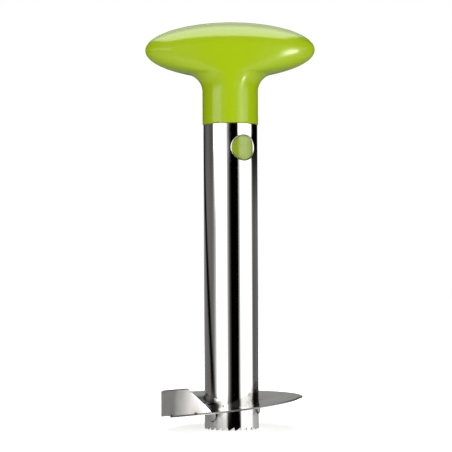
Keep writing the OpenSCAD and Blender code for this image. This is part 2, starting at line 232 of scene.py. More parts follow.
class Form:
    """Points, faces and finish numbers of a piece while it is being built."""

    def __init__(self):
        self.points = []
        self.faces = []
        self.finishes = []

    def row(self, points):
        """Adds a row of points and gives their numbers."""
        first = len(self.points)
        self.points.extend(points)
        return list(range(first, len(self.points)))

    def face(self, corners, finish=0):
        self.faces.append(corners)
        self.finishes.append(finish)

    def section(self, outline, angle):
        """Adds a row of points that are given by radius and height, at a compass angle."""
        return self.row([polar(radius, angle, z) for radius, z in outline])

    def strip(self, low, high, closed=True, finish=0):
        """Four-sided faces between two rows of as many points.

        A list gives each face its own finish, or None where there is a hole.
        """
        count = len(low)
        for j in range(count if closed else count - 1):
            k = (j + 1) % count
            chosen = finish[j] if isinstance(finish, list) else finish
            if chosen is not None:
                self.face([low[j], low[k], high[k], high[j]], chosen)

    def skin(self, rows, closed=True, finish=0):
        """Strips between neighbouring rows."""
        for low, high in zip(rows, rows[1:]):
            self.strip(low, high, closed, finish)

    def fan(self, row, place, closed=True):
        """Triangles from a row to a single new point, whose number it gives."""
        tip = self.row([place])[0]
        count = len(row)
        for j in range(count if closed else count - 1):
            self.face([row[j], row[(j + 1) % count], tip])
        return tip

    def caps(self, rows, finish=0):
        """Flat ends over the first and the last row, with a finish for the first."""
        self.face(rows[0], finish)
        self.face(rows[-1][::-1])


def show(name, mesh):
    """An object of a mesh, in the scene."""
    shown = bpy.data.objects.new(name, mesh)
    bpy.context.scene.collection.objects.link(shown)
    return shown


def piece(form, name, finishes, crease=30.0):
    """A mesh object of a form, smooth up to a crease angle in degrees, with its faces turned outwards."""
    mesh = bpy.data.meshes.new(name)
    mesh.from_pydata(form.points, [], form.faces)
    mesh.polygons.foreach_set("material_index", form.finishes)
    for finish in finishes:
        mesh.materials.append(finish)
    turned = bmesh.new()
    turned.from_mesh(mesh)
    bmesh.ops.recalc_face_normals(turned, faces=turned.faces)
    turned.to_mesh(mesh)
    turned.free()
    mesh.shade_smooth()
    mesh.set_sharp_from_angle(angle=math.radians(crease))
    return show(name, mesh)


def carry(shown, body, slot, *nodes):
    """Lets a piece ride on a body and hides the solids that it stands for. The slot is not used."""
    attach(shown, body)
    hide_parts(*nodes)


def polar(radius, angle, z):
    """The point at a radius and a compass angle round the tube's axis, at a height."""
    return (radius * math.cos(angle), radius * math.sin(angle), z)


def between(low, high, count):
    """Evenly spaced numbers from low to high, both included."""
    return [low + (high - low) * i / (count - 1) for i in range(count)]


def quarter(count):
    """Angles of a quarter turn, with both of its ends."""
    return between(0.0, math.pi / 2, count)


def whole(count):
    """Angles of a whole turn, with its start and not its end."""
    return between(0.0, 2 * math.pi, count + 1)[:-1]


# Finishes


def add(tree, kind, inputs=None, **settings):
    """Adds a node, applies its settings, and sets or links its inputs."""
    node = tree.nodes.new(kind)
    for name, value in settings.items():
        setattr(node, name, value)
    for name, value in (inputs or {}).items():
        if isinstance(value, bpy.types.NodeSocket):
            tree.links.new(value, node.inputs[name])
        else:
            node.inputs[name].default_value = value
    return node


def per(size):
    """The texture scale at which a pattern's features have a size in metres."""
    return 1.0 / size


def shaded(colour, share):
    """A colour brought down to a share of its light."""
    return (*[c * share for c in colour[:3]], 1.0)


def new_finish(name, *patterns):
    """An empty material, its node tree, the place on the piece, and its patterns of a size and a detail."""
    material = bpy.data.materials.new(name)
    material.use_nodes = True
    tree = material.node_tree
    tree.nodes.clear()
    place = add(tree, "ShaderNodeTexCoord").outputs["Object"]
    textures = [
        add(tree, "ShaderNodeTexNoise", {"Vector": place, "Scale": per(size), "Detail": detail})
        for size, detail in patterns
    ]
    return material, tree, place, *[texture.outputs["Fac"] for texture in textures]


def close_finish(tree, inputs, wear=None, relief=None):
    """Closes a material with one principled shader.

    Wear is a pattern, the two values between which it counts, and the roughness at each of them. Relief is
    a pattern, its strength and its height.
    """
    shader = add(tree, "ShaderNodeBsdfPrincipled", inputs)
    add(tree, "ShaderNodeOutputMaterial", {"Surface": shader.outputs["BSDF"]})
    if wear:
        pattern, (start, end), (low, high) = wear
        rough = add(
            tree, "ShaderNodeMapRange",
            {"Value": pattern, "From Min": start, "From Max": end, "To Min": low, "To Max": high})
        tree.links.new(rough.outputs["Result"], shader.inputs["Roughness"])
    if relief:
        pattern, strength, height = relief
        bump = add(tree, "ShaderNodeBump", {"Height": pattern, "Strength": strength, "Distance": height})
        tree.links.new(bump.outputs["Normal"], shader.inputs["Normal"])


# Most values of a pattern lie between the first two, and most products of two patterns between the others
NOISE_ENDS = (0.3, 0.7)
PRODUCT_ENDS = (0.12, 0.42)


def moulded_lime_abs(name, colour, gloss):
    """ABS from a polished mould: an even, saturated lime under a clear gloss.

    Slow shrinkage waves bend the highlights a little, and fine handling marks soften their edges.
    """
    # The colour drifts over 22 mm, a handling mark is 0.9 mm wide and a shrinkage wave 9 mm long
    material, tree, _, cloud, marks, waves = new_finish(name, (22 * MM, 2.0), (0.9 * MM, 3.0), (9 * MM, 1.0))
    tint = add(
        tree, "ShaderNodeMix", {0: cloud, 6: shaded(colour, 0.93), 7: tuple(colour)}, data_type="RGBA")
    close_finish(
        tree, {"Metallic": 0.0, "IOR": 1.54, "Base Color": tint.outputs[2]},
        wear=(marks, NOISE_ENDS, (gloss, gloss * 1.35)), relief=(waves, 0.06, 0.2 * MM))
    return material


def spot_tint(tree, place, colour, spots, shade, share):
    """Brings a colour towards a shade round some spots.

    Each spot comes with the distance at which the tint starts to fade and the one where it ends.
    """
    if not spots:
        return colour
    # The tint spreads unevenly, in patches about 3 mm wide
    patches = add(tree, "ShaderNodeTexNoise", {"Vector": place, "Scale": per(3 * MM)})
    spread = add(tree, "ShaderNodeMath", {0: patches.outputs["Fac"], 1: 0.5}, operation="ADD")
    for spot, near, far in spots:
        away = add(tree, "ShaderNodeVectorMath", {0: place, 1: spot}, operation="DISTANCE")
        uneven = add(
            tree, "ShaderNodeMath", {0: away.outputs["Value"], 1: spread.outputs["Value"]},
            operation="MULTIPLY")
        heat = add(
            tree, "ShaderNodeMapRange",
            {"Value": uneven.outputs["Value"], "From Min": near, "From Max": far,
             "To Min": share, "To Max": 0.0})
        tint = add(
            tree, "ShaderNodeMix", {0: heat.outputs["Result"], 6: colour, 7: srgb(shade)}, data_type="RGBA")
        colour = tint.outputs[2]
    return colour


def worn_steel(tree, colour, grain, cloud, gloss, coarser, strength):
    """Closes a stainless finish whose gloss is worn where a grain and a cloud meet, with a raised grain."""
    worn = add(tree, "ShaderNodeMath", {0: grain, 1: cloud}, operation="MULTIPLY")
    close_finish(
        tree, {"Metallic": 1.0, "Base Color": colour},
        wear=(worn.outputs["Value"], PRODUCT_ENDS, (gloss, gloss * coarser)),
        relief=(grain, strength, 0.02 * MM))


def buffed_steel_tube(name, shade, gloss, welds=()):
    """Stainless tube, drawn and buffed along its length: near mirror bands with faint lengthwise lines.

    Round each tab weld it is darkened to a very dark brown.
    """
    material, tree, place, smear = new_finish(name, (14 * MM, 3.0))
    # Drawing lines are some 0.1 mm wide. They are drawn 0.5 mm wide, so that they show at all.
    fine = per(0.5 * MM)
    drawn = add(tree, "ShaderNodeMapping", {"Vector": place, "Scale": (fine, fine, per(60 * MM))})
    lines = add(
        tree, "ShaderNodeTexNoise",
        {"Vector": drawn.outputs["Vector"], "Scale": 1.0, "Detail": 3.0}).outputs["Fac"]
    light = srgb(shade)
    tint = add(tree, "ShaderNodeMix", {0: lines, 6: shaded(light, 0.9), 7: light}, data_type="RGBA")
    # The tube is darkened to a very dark brown round the tab welds
    colour = spot_tint(tree, place, tint.outputs[2], welds, "#1E1A16", 0.95)
    worn_steel(tree, colour, lines, smear, gloss, coarser=1.7, strength=0.08)
    return material


def tumbled_steel_sheet(name, shade, gloss, tacks):
    """Stainless sheet, stamped and tumbled: a soft grey sheen with fine crossing scratches.

    Near each tack weld the sheet is tinted straw and brown by the heat.
    """
    # Tumbling marks are some 0.05 mm across. They are drawn 0.4 mm across, so that they show at all.
    material, tree, place, grain, cloud = new_finish(name, (0.4 * MM, 4.0), (7 * MM, 3.0))
    light = srgb(shade)
    tint = add(tree, "ShaderNodeMix", {0: cloud, 6: shaded(light, 0.88), 7: light}, data_type="RGBA")
    spots = [(tack, 1.5 * MM, 5.5 * MM) for tack in tacks]
    colour = spot_tint(tree, place, tint.outputs[2], spots, "#8A6F58", 0.35)
    worn_steel(tree, colour, grain, cloud, gloss, coarser=1.6, strength=0.1)
    return material


def ground_steel_edge(name, dull="#C4C2BF", bright="#E0DEDB"):
    """Ground stainless: a pale line along an edge, with fine lines across it. On the disc's rim its colours are
    darker, as painted shade.
    """
    # Grinding lines are drawn 0.3 mm apart, several times their real spacing, so that they show at all.
    material, tree, _, lines = new_finish(name, (0.3 * MM, 2.0))
    tint = add(tree, "ShaderNodeMix", {0: lines, 6: srgb(dull), 7: srgb(bright)}, data_type="RGBA")
    close_finish(
        tree, {"Metallic": 1.0, "Base Color": tint.outputs[2]}, wear=(lines, NOISE_ENDS, (0.26, 0.4)))
    return material


# Brown and blue oxide and bare weld, each with its place in the pattern's values
OXIDES = ((0.35, "#2E2723"), (0.48, "#3D424B"), (0.65, "#8A857E"))


def heat_dark_weld(name):
    """Tack weld left as it cooled: a lumpy grey bead with brown and blue oxide on it."""
    # The spots of oxide are some 0.9 mm across
    material, tree, _, oxide = new_finish(name, (0.9 * MM, 4.0))
    ramp = add(tree, "ShaderNodeValToRGB", {"Fac": oxide})
    elements = ramp.color_ramp.elements
    elements.new(OXIDES[1][0])
    for element, (position, shade) in zip(elements, OXIDES):
        element.position = position
        element.color = srgb(shade)
    close_finish(
        tree, {"Metallic": 1.0, "Base Color": ramp.outputs["Color"]},
        wear=(oxide, NOISE_ENDS, (0.5, 0.28)), relief=(oxide, 0.4, 0.1 * MM))
    return material


# Glow of the lit paper close to the tool and away from it, and the distances that this stands for
PAPER_GLOW = (0.8, 1.15)
PAPER_REACH = (0.05, 0.4)


def pale_paper(name, colour):
    """Seamless white paper with a fine tooth, lit until it is all but white, more so away from the tool."""
    # The paper's tooth is drawn 1.5 mm wide, several times its real width
    material, tree, place, tooth = new_finish(name, (1.5 * MM, 2.0))
    tint = add(
        tree, "ShaderNodeMix", {0: tooth, 6: shaded(colour, 0.98), 7: tuple(colour)}, data_type="RGBA")
    away = add(tree, "ShaderNodeVectorMath", {0: place}, operation="LENGTH")
    glow = add(
        tree, "ShaderNodeMapRange",
        {"Value": away.outputs["Value"], "From Min": PAPER_REACH[0], "From Max": PAPER_REACH[1],
         "To Min": PAPER_GLOW[0], "To Max": PAPER_GLOW[1]})
    close_finish(tree, {
        "Roughness": 0.9, "Base Color": tint.outputs[2], "Emission Color": tuple(colour),
        "Emission Strength": glow.outputs["Result"]})
    return material


# Handle

# Points on the round of an edge, on each curve of the handle's outside and inside, and round its front
ROUND_POINTS = 5
OUTSIDE_POINTS, INSIDE_POINTS, FRONT_POINTS = 30, 10, 96
# Halvings that find where the fillet touches the bar
HALVINGS = 40
# The round at the parting plane takes no more than this share of a section's half width or half depth
ROUND_SHARE = 0.4


def touch(neck, width, height, fillet):
    """Angle on a lower quarter ellipse at which a fillet touches both the ellipse and the neck."""
    low, high = 0.0, math.pi / 2
    for _ in range(HALVINGS):
        t = (low + high) / 2
        slope = math.hypot(math.cos(t) / width, math.sin(t) / height)
        if width * math.cos(t) + fillet * math.cos(t) / width / slope > neck + fillet:
            low = t
        else:
            high = t
    return t


def ease(share):
    """A smooth step from 0 to 1 as a share goes from 0 to 1."""
    t = min(1.0, max(0.0, share))
    return t * t * (3 - 2 * t)


def bar_levels(neck, width, height, depth, fillet, steps):
    """Levels of the handle from the start of the fillet upwards: height, half width and half depth."""
    t = touch(neck, width, height, fillet)
    slope = math.hypot(math.cos(t) / width, math.sin(t) / height)
    centre = GRIP.z - height * math.sin(t) - fillet * math.sin(t) / height / slope
    end = math.atan2(math.sin(t) / height, -math.cos(t) / width)

    def half_depth(z):
        return neck + (depth - neck) * ease((z - centre) / (GRIP.z - centre))

    levels = []
    for angle in between(math.pi, end, steps)[:-1]:
        z = centre + fillet * math.sin(angle)
        levels.append((z, neck + fillet + fillet * math.cos(angle), half_depth(z)))
    for angle in between(t, 0.0, steps)[:-1]:
        z = GRIP.z - height * math.sin(angle)
        levels.append((z, width * math.cos(angle), half_depth(z)))
    for angle in quarter(steps)[:-1]:
        levels.append((GRIP.z + height * math.sin(angle), width * math.cos(angle), depth * math.cos(angle)))
    return levels


def seam_ring(levels, i, shell):
    """Half of an oval section in front of the parting plane, rounded over at the plane."""
    z, width, depth = levels[i]
    below, above = levels[max(0, i - 1)], levels[min(len(levels) - 1, i + 1)]
    rise, run = above[0] - below[0], above[1] - below[1]
    length = math.hypot(rise, run)
    normal = (rise / length, -run / length)
    lift = min(shell.edge_round, ROUND_SHARE * width, ROUND_SHARE * depth)
    edge = []
    for turn in quarter(ROUND_POINTS)[:-1]:
        sunk = lift * (1 - math.sin(turn))
        edge.append((width - sunk * normal[0], -lift * (1 - math.cos(turn)), z - sunk * normal[1]))
    start = math.asin(lift / depth)
    oval = [
        (width * math.cos(angle), depth * math.sin(angle), z)
        for angle in between(math.pi + start, 2 * math.pi - start, FRONT_POINTS)
    ]
    left = [(-x, y, z) for x, y, z in edge]
    ring = left + oval + edge[::-1]
    return [(x, y - shell.seam_gap / 2, z) for x, y, z in ring]


def handle_half(shell):
    """The front half of the handle: outside, inside, parting face and lower edge."""
    form = Form()
    parting = -shell.seam_gap / 2
    depth = shell.half_depth + parting
    collar = [
        (SHELL_LOW.z + shell.collar_round * (1 - math.cos(turn)),
         shell.neck_radius - shell.collar_round * (1 - math.sin(turn)))
        for turn in quarter(ROUND_POINTS)
    ]
    outside = [(z, r, r) for z, r in collar]
    # A level close over the round keeps the neck's shading upright
    outside.append((collar[-1][0] + shell.collar_round, shell.neck_radius, shell.neck_radius))
    outside += bar_levels(
        shell.neck_radius, shell.half_length, shell.half_height, depth, shell.neck_fillet, OUTSIDE_POINTS)
    rings = [form.row(seam_ring(outside, i, shell)) for i in range(len(outside))]
    form.skin(rings, closed=False)
    top = GRIP.z + shell.half_height
    pole = form.fan(rings[-1], (0.0, parting, top), closed=False)
    inner = shell.neck_radius - shell.wall
    inside = [(SHELL_LOW.z, inner, inner)]
    inside += bar_levels(
        inner, shell.half_length - shell.wall, shell.half_height - shell.wall, depth - shell.wall,
        shell.neck_fillet + shell.wall, INSIDE_POINTS)
    angles = between(math.pi, 2 * math.pi, len(rings[0]))
    hollows = [
        form.row([(width * math.cos(angle), deep * math.sin(angle) + parting, z) for angle in angles])
        for z, width, deep in inside
    ]
    form.skin(hollows, closed=False)
    dome = form.fan(hollows[-1], (0.0, parting, top - shell.wall), closed=False)
    form.strip(rings[0], hollows[0], closed=False)
    left_out = [ring[0] for ring in reversed(rings)]
    left_in = [ring[0] for ring in hollows]
    right_in = [ring[-1] for ring in reversed(hollows)]
    right_out = [ring[-1] for ring in rings]
    form.face([pole, *left_out, *left_in, dome, *right_in, *right_out])
    return form


class CORER_OT_handle(bpy.types.Operator):
    """Build the two moulded halves of the handle"""

    bl_idname = "corer.handle"
    bl_label = "Handle halves"

    def execute(self, context):
        shell = context.scene.corer_handle
        finish = moulded_lime_abs("Lime ABS, gloss moulded", shell.colour, gloss=0.16)
        for name, side in (("front", 1), ("rear", -1)):
            form = handle_half(shell)
            form.points = [(side * x, side * y, z) for x, y, z in form.points]
            shown = piece(form, f"{name}_half", [finish])
            carry(shown, "handle", "lime_shell", f"handle_{name}_shell")
        return {"FINISHED"}


# Latch

# The latch is moulded apart from the handle in a deeper lime, and is darkened further as painted shade
LATCH_SHADE = 0.62
# Points of a ring about the button and of the round on its edge
LATCH_POINTS, BUTTON_POINTS = 180, 6
# Rings on the button's face, on the tongue round it and on the tongue's back, as shares of the way out
FACE_RINGS = (0.25, 0.5, 0.75, 1.0)
TONGUE_RINGS = (0.35, 0.7, 1.0)
BACK_RINGS = (1.0, 0.7, 0.4, 0.15)


def tongue_reach(latch, angle):
    """Distance from a button's middle to the edge of its tongue, in a direction."""
    across, up = abs(math.cos(angle)), math.sin(angle)
    if up >= 0:
        return latch.head_radius
    foot = latch.button_height - BUTTON_LOW.z
    side = latch.stem_width / 2 / max(across, HAIR)
    return max(latch.head_radius, min(side, foot / -up))


def latch_form(latch, tube_radius):
    """A button on its tongue, drawn in rings about the button's middle, on the tube's +X side."""
    form = Form()
    angles = whole(LATCH_POINTS)
    flat = latch.button_radius - latch.button_round

    def on_wall(distances, radius):
        row = []
        for angle, distance in zip(angles, distances):
            across = distance * math.cos(angle)
            z = latch.button_height + distance * math.sin(angle)
            row.append((math.sqrt(radius * radius - across * across), across, z))
        return form.row(row)

    def circle(distance, radius):
        return on_wall([distance] * len(angles), radius)

    rows = [circle(flat * share, tube_radius) for share in FACE_RINGS]
    for turn in quarter(BUTTON_POINTS)[1:]:
        out = flat + latch.button_round * math.sin(turn)
        rows.append(circle(out, tube_radius - latch.button_round * (1 - math.cos(turn))))
    rows.append(circle(latch.button_radius, latch.outer_radius))
    edges = [tongue_reach(latch, angle) for angle in angles]
    for share in TONGUE_RINGS:
        rows.append(on_wall(
            [latch.button_radius + (edge - latch.button_radius) * share for edge in edges],
            latch.outer_radius))
    inner = latch.outer_radius - latch.thickness
    for share in BACK_RINGS:
        rows.append(on_wall([edge * share for edge in edges], inner))
    form.skin(rows)
    form.fan(rows[0], (tube_radius, 0.0, latch.button_height))
    form.fan(rows[-1], (inner, 0.0, latch.button_height))
    return form


class CORER_OT_latch(bpy.types.Operator):
    """Build the two buttons on their tongues and finish the plug"""

    bl_idname = "corer.latch"
    bl_label = "Buttons and plug"

    def execute(self, context):
        latch = context.scene.corer_latch
        # A darker copy of the handle's lime: partly a deeper plastic, partly painted shade
        colour = shaded(context.scene.corer_handle.colour, LATCH_SHADE)
        finish = moulded_lime_abs("Lime ABS, satin moulded", colour, gloss=0.14)
        for name, turn in (("front", 0.0), ("rear", math.pi)):
            form = latch_form(latch, context.scene.corer_tube.radius)
            turned = Matrix.Rotation(FACING + turn, 3, "Z")
            form.points = [tuple(turned @ Vector(point)) for point in form.points]
            shown = piece(form, f"{name}_latch", [finish])
            carry(shown, f"{name}_button", "lime_latch", f"{name}_button")
        plug = frame["nodes"]["plug"]
        plug.material_slots[0].material = finish
        return {"FINISHED"}


# Tube

# Round each button hole a patch of the wall is drawn in rings. Its margin up and down and round the tube,
# the rows across it, and the rings between its edge and the hole, as shares of the way
PATCH_MARGIN = 1.5 * MM
PATCH_TURN = math.radians(4)
PATCH_ROWS = 15
PATCH_RINGS = (0.4, 0.75, 1.0)
# Darkening of the tube round each tab's weld: angle from the tab's middle, height above the disc, and where it
# starts to fade and ends
TAB_DARKENING = (
    (math.radians(7), 1.5 * MM, 2.5 * MM, 8 * MM),
    (0.0, 3 * MM, 5 * MM, 11 * MM),
    (0.0, 1 * MM, 2 * MM, 7 * MM),
)


def tooth_columns(tube):
    """Compass angle and lower edge of the tube at each column of its wall, tooth by tooth."""
    pitch = 2 * math.pi * tube.radius / tube.tooth_count
    slope = pitch - tube.tooth_flank - tube.tooth_land
    profile = [
        (0.0, 0.0), (tube.tooth_land, 0.0), (tube.tooth_land + slope / 3, tube.tooth_depth / 3),
        (tube.tooth_land + slope * 2 / 3, tube.tooth_depth * 2 / 3),
        (pitch - tube.tooth_flank, tube.tooth_depth), (pitch - tube.tooth_flank / 2, tube.tooth_depth / 2),
    ]
    return [
        ((tooth * pitch + along) / tube.radius, height)
        for tooth in range(tube.tooth_count) for along, height in profile
    ]


def wrap(angle):
    """An angle brought between minus and plus half a turn."""
    return (angle + math.pi) % (2 * math.pi) - math.pi


def hole_ring(loop, radius, facing, height, hole):
    """Points of a round hole's edge on a wall of a radius, one for each point of the loop round it."""
    ring = []
    for angle, z in loop:
        way = math.atan2(z - height, radius * math.sin(angle - facing))
        turn = facing + math.asin(hole * math.cos(way) / radius)
        ring.append((turn, height + hole * math.sin(way)))
    return ring


def tube_form(tube, latch):
    """The tube: two walls with round holes, a toothed lower edge and a broken upper edge."""
    form = Form()
    columns = tooth_columns(tube)
    count = len(columns)
    inner = tube.radius - tube.wall
    broken = tube.edge_break
    fall = tube.hole_break * math.tan(tube.hole_slope)
    patch = tube.hole_radius + PATCH_MARGIN
    heights = [2 * tube.tooth_depth]
    heights += between(latch.button_height - patch, latch.button_height + patch, PATCH_ROWS)
    heights.append(TUBE_HIGH.z - broken)
    # Number of the row at the patches' upper edge; the one at their lower edge is 1
    last = len(heights) - 2
    half_span = math.asin(tube.hole_radius / inner) + PATCH_TURN
    facings = (FACING, FACING + math.pi)
    spans = []
    for facing in facings:
        inside = [j for j in range(count) if abs(wrap(columns[j][0] - facing)) < half_span]
        first = next(j for j in inside if (j - 1) % count not in inside)
        spans.append([(first + k) % count for k in range(len(inside))])
    open_cells = {j for span in spans for j in span[:-1]}
    walls = []
    # Radius and finish of each wall, then the radius of its edge in the holes and at the top
    for radius, finish, depth, crest in (
            (tube.radius, 0, tube.radius - fall, tube.radius - broken),
            (inner, 2, inner + broken, inner + broken)):
        teeth = form.row([polar(radius, angle, z) for angle, z in columns])
        rows = [form.row([polar(radius, angle, z) for angle, _ in columns]) for z in heights]
        form.strip(teeth, rows[0], finish=finish)
        holed = [None if j in open_cells else finish for j in range(count)]
        for i, (low, high) in enumerate(zip(rows, rows[1:])):
            form.strip(low, high, finish=holed if 1 <= i < last else finish)
        edges = []
        for facing, span in zip(facings, spans):
            cells = [(1, j) for j in span]
            cells += [(i, span[-1]) for i in range(2, last + 1)]
            cells += [(last, j) for j in span[-2::-1]]
            cells += [(i, span[0]) for i in range(last - 1, 1, -1)]
            loop = [(facing + wrap(columns[j][0] - facing), heights[i]) for i, j in cells]
            rim = hole_ring(loop, radius, facing, latch.button_height, tube.hole_radius)
            outline = [rows[i][j] for i, j in cells]
            for share in PATCH_RINGS:
                ring = form.row([
                    polar(radius, a + (b - a) * share, z + (w - z) * share)
                    for (a, z), (b, w) in zip(loop, rim)
                ])
                form.strip(outline, ring, finish=finish)
                outline = ring
            wall = hole_ring(loop, depth, facing, latch.button_height, tube.hole_radius - tube.hole_break)
            ring = form.row([polar(depth, angle, z) for angle, z in wall])
            form.strip(outline, ring, finish=1)
            edges.append(ring)
        crown = form.row([polar(crest, angle, TUBE_HIGH.z) for angle, _ in columns])
        form.strip(rows[-1], crown, finish=1)
        walls.append((teeth, crown, *edges))
    for outer, middle in zip(*walls):
        form.strip(outer, middle, finish=1)
    return form


class CORER_OT_tube(bpy.types.Operator):
    """Build the toothed tube with its two button holes"""

    bl_idname = "corer.tube"
    bl_label = "Toothed tube"

    def execute(self, context):
        tube, blade = context.scene.corer_tube, context.scene.corer_blade
        welds = [
            (polar(tube.radius, blade.lead_angle + middle + turn, hub_top(blade, middle) + up), near, far)
            for middle, (turn, up, near, far) in zip(tab_middles(blade), TAB_DARKENING)
        ]
        finishes = [
            buffed_steel_tube("Stainless tube, buffed", "#CFCDCA", 0.05, welds),
            ground_steel_edge("Stainless, cut edge"),
            buffed_steel_tube("Stainless tube, drawn bore", "#B4B2AF", 0.22),
        ]
        shown = piece(tube_form(tube, context.scene.corer_latch), "tube", finishes)
        carry(shown, "core", "polished_steel", "core_tube")
        return {"FINISHED"}


# Slicing blade

# Travel over which the leading edge is ground thin, and over which the rim steps in to lap inside the strip
LEAD_BEVEL = math.radians(2.4)
LAP_RUN = math.radians(4)
# Powers with which the dip and the ramp run out into the level part; over 1 they run out softly
DIP_CURVE, RAMP_CURVE = 1.5, 1.15
# Sections of the ground lead and of the rest, and points of a section from the tube to the ground rim
LEAD_SECTIONS, DISC_SECTIONS, SPREAD_POINTS = 4, 260, 6
# How much further than the disc a tab stays off the tube, the radius of its bend, its sections, and the
# share of its half width at which the first and the last of them lie
TAB_GAP, TAB_BEND = 0.05 * MM, 0.8 * MM
TAB_SECTIONS, TAB_SHARE = 25, 0.98


def trail_dip(blade, travel):
    """Dip of the blade towards its trailing edge, at an angle of travel from its leading edge."""
    return blade.trail_drop * max(0.0, 1 - (blade.blade_span - travel) / blade.trail_span) ** DIP_CURVE


def rim_top(blade, travel):
    """Height of the blade's upper face at the rim."""
    ramp = blade.lead_drop * max(0.0, 1 - travel / blade.ramp_span) ** RAMP_CURVE
    return blade.level - ramp - trail_dip(blade, travel)


def hub_top(blade, travel):
    """Height of the blade's upper face at the tube."""
    ramp = blade.hub_drop * max(0.0, 1 - travel / blade.hub_span)
    return blade.level - ramp - trail_dip(blade, travel)


def blade_thickness(blade, travel):
    """Thickness of the blade, which is ground thin at its leading edge."""
    ground = blade.edge_thickness + (blade.thickness - blade.edge_thickness) * travel / LEAD_BEVEL
    return min(blade.thickness, ground)


def blade_inner(blade, travel, hub):
    """Inner radius of the blade, which leaves the tube towards its trailing edge."""
    share = (travel - blade.blade_span + blade.relief_span) / blade.relief_span
    return hub + blade.relief_gap * math.sqrt(max(0.0, share))


def blade_outer(blade, side, travel):
    """Outer radius of the blade, whose end laps inside the side blade."""
    lap = side.radius - side.thickness - side.lap_gap
    start = 2 * math.pi - side.ahead - 2 * LAP_RUN
    return blade.radius - (blade.radius - lap) * min(1.0, max(0.0, (travel - start) / LAP_RUN))


def disc_form(blade, side, hub):
    """The helical disc, as sections along its travel, each straight from the tube to the rim."""
    form = Form()
    travels = between(0.0, LEAD_BEVEL, LEAD_SECTIONS)[:-1]
    travels += between(LEAD_BEVEL, blade.blade_span, DISC_SECTIONS)
    sections = []
    for travel in travels:
        thick = blade_thickness(blade, travel)
        inner, outer = blade_inner(blade, travel, hub), blade_outer(blade, side, travel)
        low, rise = hub_top(blade, travel), rim_top(blade, travel) - hub_top(blade, travel)
        spread = between(inner, outer - blade.bevel_width, SPREAD_POINTS)
        upper = [(r, low + rise * (r - inner) / (outer - inner)) for r in spread]
        edge = low + rise - thick
        outline = [(r, z - thick) for r, z in upper]
        outline += [(outer, edge), (outer, edge + blade.rim_land * thick / blade.thickness)]
        outline += upper[::-1]
        sections.append(form.section(outline, blade.lead_angle + travel))
    # Faces of a section, counted from the inner lower corner: the rim and the bevel over it are ground
    ground = (SPREAD_POINTS, SPREAD_POINTS + 1)
    honed = [1 if j in ground else 0 for j in range(len(sections[0]))]
    for travel, low, high in zip(travels, sections, sections[1:]):
        form.strip(low, high, finish=1 if travel < LEAD_BEVEL - HAIR else honed)
    form.caps(sections, finish=1)
    return form


def tab_form(form, blade, hub, middle):
    """Adds one tab, bent down from the disc on to the tube with a small fillet and a round end."""
    half = blade.tab_width / 2 / hub
    inner = hub + TAB_GAP
    outer = inner + blade.thickness
    sections = []
    for share in between(-TAB_SHARE, TAB_SHARE, TAB_SECTIONS):
        travel = middle + share * half
        under = hub_top(blade, travel) - blade.thickness
        low = tab_foot(blade, middle) + blade.tab_width / 2 * (1 - math.sqrt(1 - share * share))
        outline = [(inner, low), (outer, low)]
        for turn in quarter(ROUND_POINTS):
            outline.append(
                (outer + TAB_BEND * (1 - math.cos(turn)), under - TAB_BEND * (1 - math.sin(turn))))
        outline += [(outer + TAB_BEND, under + blade.thickness / 2), (inner, under + blade.thickness / 2)]
        sections.append(form.section(outline, blade.lead_angle + travel))
    form.skin(sections)
    form.caps(sections)


def tab_middles(blade):
    """Travel of the middle of each tab."""
    return [blade.tab_first + 2 * math.pi * i / blade.tab_count for i in range(blade.tab_count)]


def tab_foot(blade, middle):
    """Height of a tab's lower end."""
    return hub_top(blade, middle) - blade.thickness - blade.tab_length


def tack_travels(side):
    """Travel of the two tack welds at the foot of the side blade."""
    return [side.tack_first, side.tack_first + side.tack_step]


def tack_places(blade, side):
    """Places of those tack welds."""
    return [
        polar(side.radius, blade.lead_angle + travel, rim_top(blade, travel)) for travel in tack_travels(side)
    ]


class CORER_OT_slicing_blade(bpy.types.Operator):
    """Build the helical slicing blade with its tabs"""

    bl_idname = "corer.slicing_blade"
    bl_label = "Slicing blade"

    def execute(self, context):
        blade, side = context.scene.corer_blade, context.scene.corer_side_blade
        hub = context.scene.corer_tube.radius + blade.hub_gap
        form = disc_form(blade, side, hub)
        for middle in tab_middles(blade):
            tab_form(form, blade, hub, middle)
        finishes = [
            tumbled_steel_sheet("Stainless sheet, tumbled disc", "#C4C2BF", 0.1, tack_places(blade, side)),
            # The disc's rim gets darker colours than the other ground edges, as painted shade
            ground_steel_edge("Stainless, ground rim", "#959390", "#A9A7A4"),
        ]
        shown = piece(form, "disc_blade", finishes, crease=18.0)
        carry(shown, "core", "polished_steel", "slicing_blade")
        return {"FINISHED"}


# Side blade

# Sections of the level part and of the tail, and the most of the strip's height that its bevel takes
STRIP_SECTIONS, TAIL_SECTIONS = 60, 40
BEVEL_SHARE = 0.6


def side_foot(blade, side, travel):
    """Height of the side blade's foot. Travel is negative ahead of the disc's leading edge."""
    if travel < 0:
        return side.gap + rim_top(blade, 0.0) + side.dip * travel / side.ahead
    return side.gap + rim_top(blade, travel)


def side_head(blade, side, travel):
    """Height of the side blade's upper edge, which slants down to the foot over the tail."""
    knee = side.back - side.tail
    top = rim_top(blade, 0.0) + side.gap + side.height + side.dip * travel / side.ahead
    if travel < knee:
        return top
    tip = side_foot(blade, side, side.back) + blade.edge_thickness
    return top + (tip - top) * (travel - knee) / side.tail


